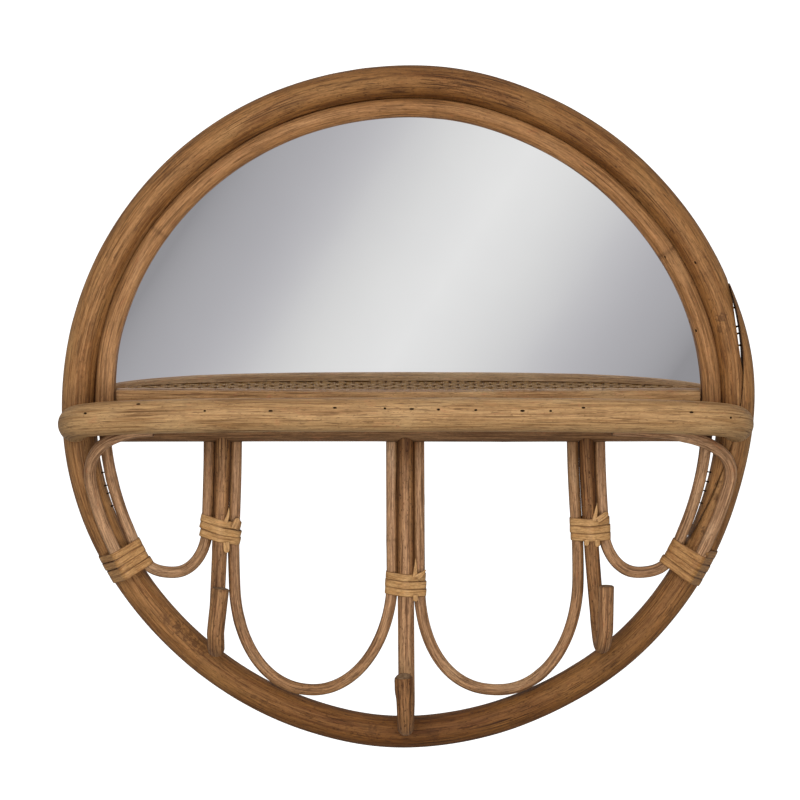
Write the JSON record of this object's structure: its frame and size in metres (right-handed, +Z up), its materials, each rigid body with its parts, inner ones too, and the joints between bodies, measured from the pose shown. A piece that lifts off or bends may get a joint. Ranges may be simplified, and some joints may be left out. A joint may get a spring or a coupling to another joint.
{
  "type": "wall mirror",
  "caption": "Round bent-rattan wall mirror: half-round glass above a woven cane shelf with a bent front rail, scalloped canes and struts ending in hooks below.",
  "frame": {"origin": "on the back face of the hanger plate, behind the top of the hoop, in the plane of the wall", "axes": "+Z up, +X to the right seen from the front, +Y out of the back into the wall; the mirror faces -Y"},
  "size_m": [0.6159, 0.1186, 0.6104],
  "materials": {
    "rattan_pole": "thick rattan pole, weathered tan brown, dark grain along its length",
    "rattan_cane": "thin peeled rattan, tan brown, fine grain",
    "rattan_rail": "peeled rattan, lighter tan, fine grain",
    "rattan_peel": "flat golden peel, satin",
    "woven_cane": "close weave of flat cane",
    "silvered_glass": "polished",
    "backing_board": "raw fibreboard",
    "zinc_steel": "zinc plated"
  },
  "bodies": {
    "root": {"hoop": "rattan_pole", "bead": "rattan_cane", "mirror_glass": "silvered_glass", "backing_board": "backing_board", "rear_rail": "rattan_pole", "glass_strip": "rattan_rail", "front_rail": "rattan_rail", "woven_shelf": "woven_cane", "scallop_outer_left": "rattan_cane", "scallop_inner_left": "rattan_cane", "scallop_inner_right": "rattan_cane", "scallop_outer_right": "rattan_cane", "brace_left": "rattan_cane", "brace_right": "rattan_cane", "strut_hook_left": "rattan_cane", "strut_hook_middle": "rattan_cane", "strut_hook_right": "rattan_cane", "strut_binding_left": "rattan_peel", "strut_binding_middle": "rattan_peel", "strut_binding_right": "rattan_peel", "hoop_binding_left": "rattan_peel", "hoop_binding_right": "rattan_peel", "hanger_plate": "zinc_steel"}
  },
  "joints": []
}
